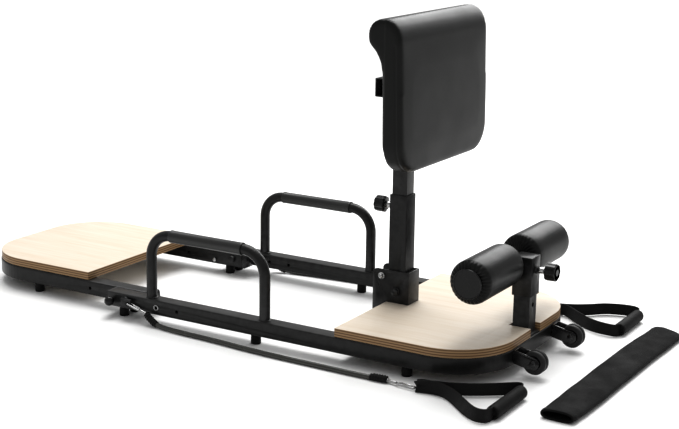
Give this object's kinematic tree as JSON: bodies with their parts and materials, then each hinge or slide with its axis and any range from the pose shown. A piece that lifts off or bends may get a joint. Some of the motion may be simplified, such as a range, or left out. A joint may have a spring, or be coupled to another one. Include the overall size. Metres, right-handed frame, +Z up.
{
  "type": "pilates reformer",
  "caption": "Folding home pilates reformer: steel floor frame with plywood boards, side handles, back pad post, ankle rollers, wheels and elastic pull bands.",
  "frame": {"origin": "floor level at the middle of the whole footprint (cords left out); the machine's own centreline lies 8.5 mm towards -Y of it because the far pull handle lies a little further out", "axes": "+X along the machine towards the transport wheels, +Y to the far side, +Z up"},
  "size_m": [1.696, 0.8196, 0.752],
  "materials": {
    "steel": "satin black powder coat",
    "plywood": "clear matt lacquer on birch veneer",
    "vinyl": "black grained upholstery vinyl",
    "foam": "matt black foam",
    "rubber": "matt black rubber",
    "latex": "smooth elastic tube",
    "webbing": "woven nylon",
    "sleeve_fabric": "matt woven cover",
    "chrome": "bright plated steel",
    "plastic": "moulded black plastic"
  },
  "bodies": {
    "main_frame": {"main_frame": "steel", "board_crossmember": "steel", "standing_board": "plywood", "main_plug_near": "plastic", "main_plug_far": "plastic", "fold_bolt_near": "steel", "fold_bolt_far": "steel", "handle_tube_near": "steel", "handle_tube_far": "steel", "handle_grip_near": "foam", "handle_grip_far": "foam", "post_bracket": "steel", "post_pivot_bolt": "steel", "roller_post": "steel", "wheel_bracket_near": "steel", "wheel_bracket_far": "steel", "wheel_bolt_near": "steel", "wheel_bolt_far": "steel", "band_near": "latex", "band_far": "latex", "band_hook_near": "chrome", "band_hook_far": "chrome", "main_foot_near_1": "rubber", "main_foot_near_2": "rubber", "main_foot_near_3": "rubber", "main_foot_far_1": "rubber", "main_foot_far_2": "rubber", "main_foot_far_3": "rubber"},
    "foot_section": {"foot_frame": "steel", "foot_crossmember": "steel", "foot_board": "plywood", "foot_plug_near": "plastic", "foot_plug_far": "plastic", "foot_frame_foot_near_1": "rubber", "foot_frame_foot_near_2": "rubber", "foot_frame_foot_far_1": "rubber", "foot_frame_foot_far_2": "rubber"},
    "plunger_near": {"fold_plunger_near": "plastic"},
    "plunger_far": {"fold_plunger_far": "plastic"},
    "back_post": {"post_tube": "steel"},
    "back_slider": {"slider_tube": "steel", "pad_crossbar": "steel", "back_pad": "vinyl"},
    "back_knob": {"back_knob": "plastic"},
    "lock_pin": {"post_lock_pin": "chrome"},
    "roller_carriage": {"roller_carriage": "steel"},
    "roller_near": {"roller_near": "vinyl", "roller_cap_near": "plastic"},
    "roller_far": {"roller_far": "vinyl", "roller_cap_far": "plastic"},
    "roller_knob": {"roller_knob": "plastic"},
    "wheel_near": {"wheel_near": "rubber"},
    "wheel_far": {"wheel_far": "rubber"},
    "pull_handle_near": {"handle_strap_near": "webbing", "hand_grip_near": "foam", "handle_hook_near": "chrome"},
    "pull_handle_far": {"handle_strap_far": "webbing", "hand_grip_far": "foam", "handle_hook_far": "chrome"},
    "padded_sleeve": {"padded_sleeve": "sleeve_fabric"}
  },
  "joints": [
    {"name": "foot_section_fold", "type": "hinge", "parent": "main_frame", "child": "foot_section", "pos_m": [-0.327, -0.0085, 0.045], "axis": [0, 1, 0], "range_deg": [0, 180]},
    {"name": "fold_plunger_near_pull", "type": "slide", "parent": "main_frame", "child": "plunger_near", "axis": [0, -1, 0], "range_m": [0, 0.01], "stiffness_N_per_m": 900},
    {"name": "fold_plunger_far_pull", "type": "slide", "parent": "main_frame", "child": "plunger_far", "axis": [0, 1, 0], "range_m": [0, 0.01], "stiffness_N_per_m": 900},
    {"name": "back_post_fold", "type": "hinge", "parent": "main_frame", "child": "back_post", "pos_m": [0.274, -0.0085, 0.108], "axis": [0, -1, 0], "range_deg": [0, 90]},
    {"name": "back_pad_height", "type": "slide", "parent": "back_post", "child": "back_slider", "axis": [0, 0, 1], "range_m": [-0.03, 0.12]},
    {"name": "back_knob_pull", "type": "slide", "parent": "back_post", "child": "back_knob", "axis": [-1, 0, 0], "range_m": [0, 0.01], "stiffness_N_per_m": 900},
    {"name": "post_lock_pin_pull", "type": "slide", "parent": "main_frame", "child": "lock_pin", "axis": [0, -1, 0], "range_m": [0, 0.02]},
    {"name": "roller_height", "type": "slide", "parent": "main_frame", "child": "roller_carriage", "axis": [0, 0, 1], "range_m": [-0.081, 0]},
    {"name": "roller_near_spin", "type": "hinge", "parent": "roller_carriage", "child": "roller_near", "pos_m": [0.5505, -0.0085, 0.221], "axis": [0, 1, 0], "continuous": true},
    {"name": "roller_far_spin", "type": "hinge", "parent": "roller_carriage", "child": "roller_far", "pos_m": [0.5505, -0.0085, 0.221], "axis": [0, 1, 0], "continuous": true},
    {"name": "roller_knob_pull", "type": "slide", "parent": "roller_carriage", "child": "roller_knob", "axis": [1, 0, 0], "range_m": [0, 0.01], "stiffness_N_per_m": 900},
    {"name": "wheel_near_spin", "type": "hinge", "parent": "main_frame", "child": "wheel_near", "pos_m": [0.66, -0.1135, 0.0364], "axis": [0, 1, 0], "continuous": true},
    {"name": "wheel_far_spin", "type": "hinge", "parent": "main_frame", "child": "wheel_far", "pos_m": [0.66, 0.0965, 0.0364], "axis": [0, 1, 0], "continuous": true},
    {"name": "pull_handle_near_stretch", "type": "slide", "parent": "main_frame", "child": "pull_handle_near", "axis": [0.5001, -0.1, 0.8602], "range_m": [0, 0.3], "stiffness_N_per_m": 120},
    {"name": "pull_handle_far_stretch", "type": "slide", "parent": "main_frame", "child": "pull_handle_far", "axis": [0.5001, 0.1, 0.8602], "range_m": [0, 0.3], "stiffness_N_per_m": 120},
    {"name": "padded_sleeve_lift", "type": "slide", "parent": "main_frame", "child": "padded_sleeve", "axis": [0, 0, 1], "range_m": [0, 0.15]}
  ]
}
